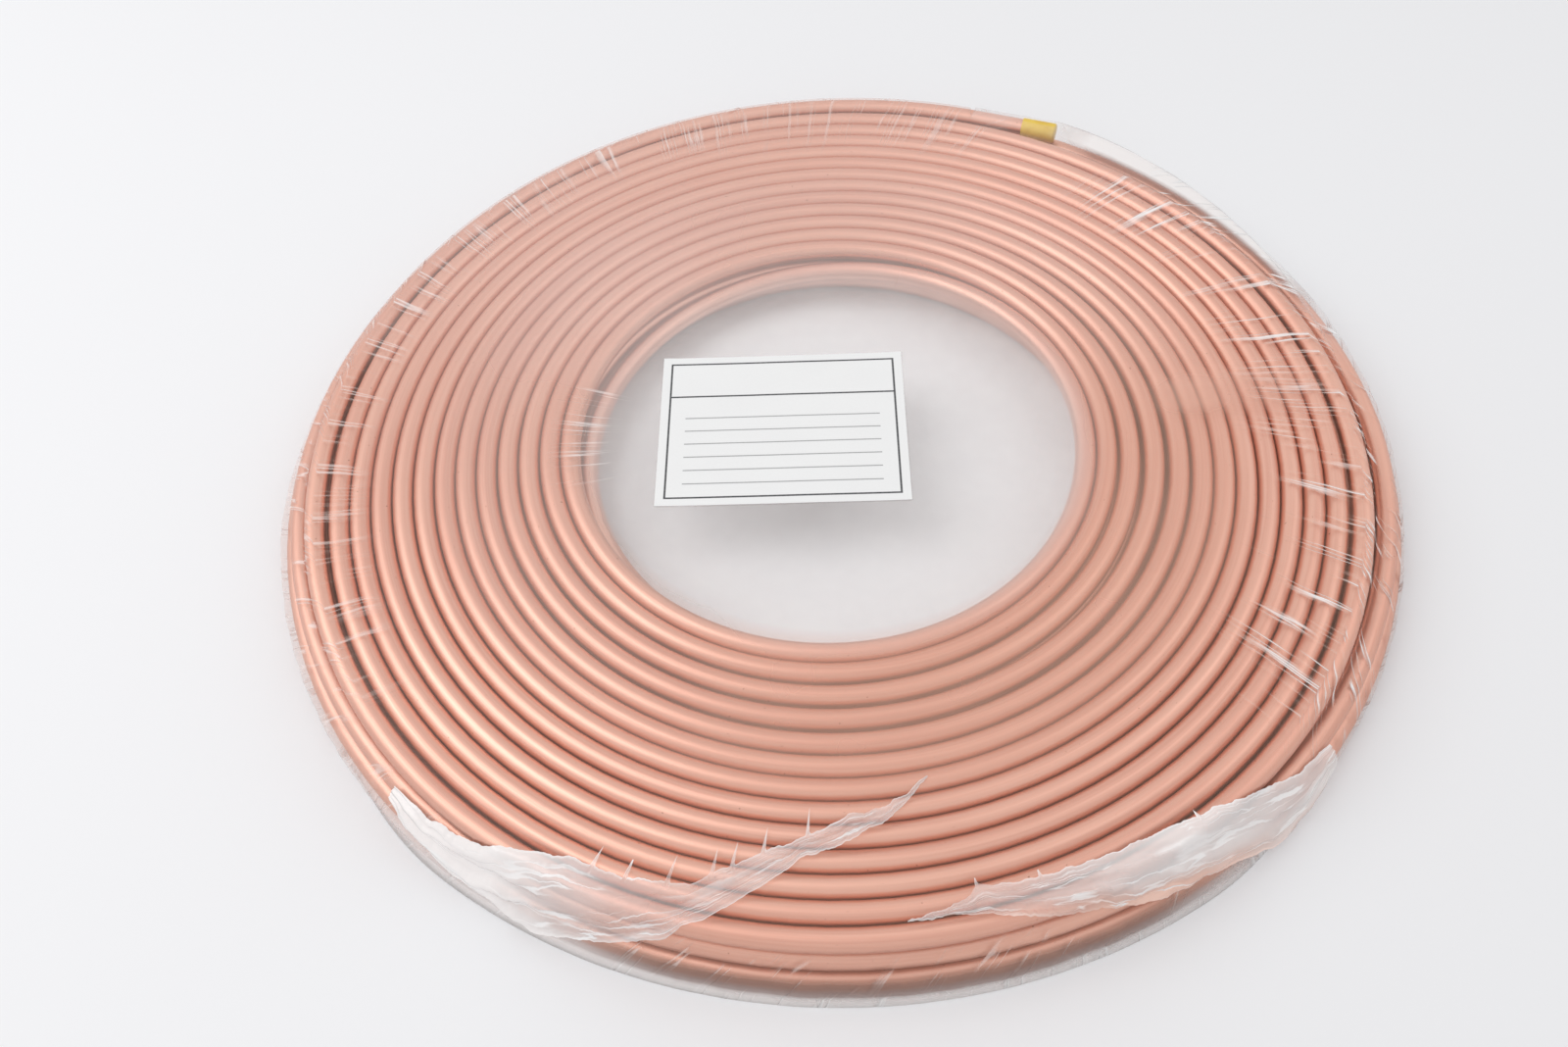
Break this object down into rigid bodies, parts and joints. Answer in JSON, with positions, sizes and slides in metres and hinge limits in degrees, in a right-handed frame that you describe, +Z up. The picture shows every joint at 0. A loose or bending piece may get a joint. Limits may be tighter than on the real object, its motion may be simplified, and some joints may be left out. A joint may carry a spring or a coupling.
{
  "type": "copper tube coil",
  "caption": "Flat spiral coil of soft copper tube in layers, with a capped free end, wrapped in clear film with a blank framed label over its bore.",
  "frame": {"origin": "on the coil's axis, at the underside of the wrap, which lies on the floor", "axes": "+Z up along the coil's axis, +X to the right of the label, +Y from the label's lower edge to its upper edge"},
  "size_m": [0.3516, 0.3516, 0.0213],
  "materials": {
    "copper": "bright drawn copper, satin",
    "cap_plastic": "soft yellow plastic",
    "clear_film": "clear shrink film, creased",
    "label_paper": "coated white paper"
  },
  "bodies": {
    "root": {"tube_coil": "copper", "outer_end_cap": "cap_plastic", "film_wrap": "clear_film", "label": "label_paper"}
  },
  "joints": []
}
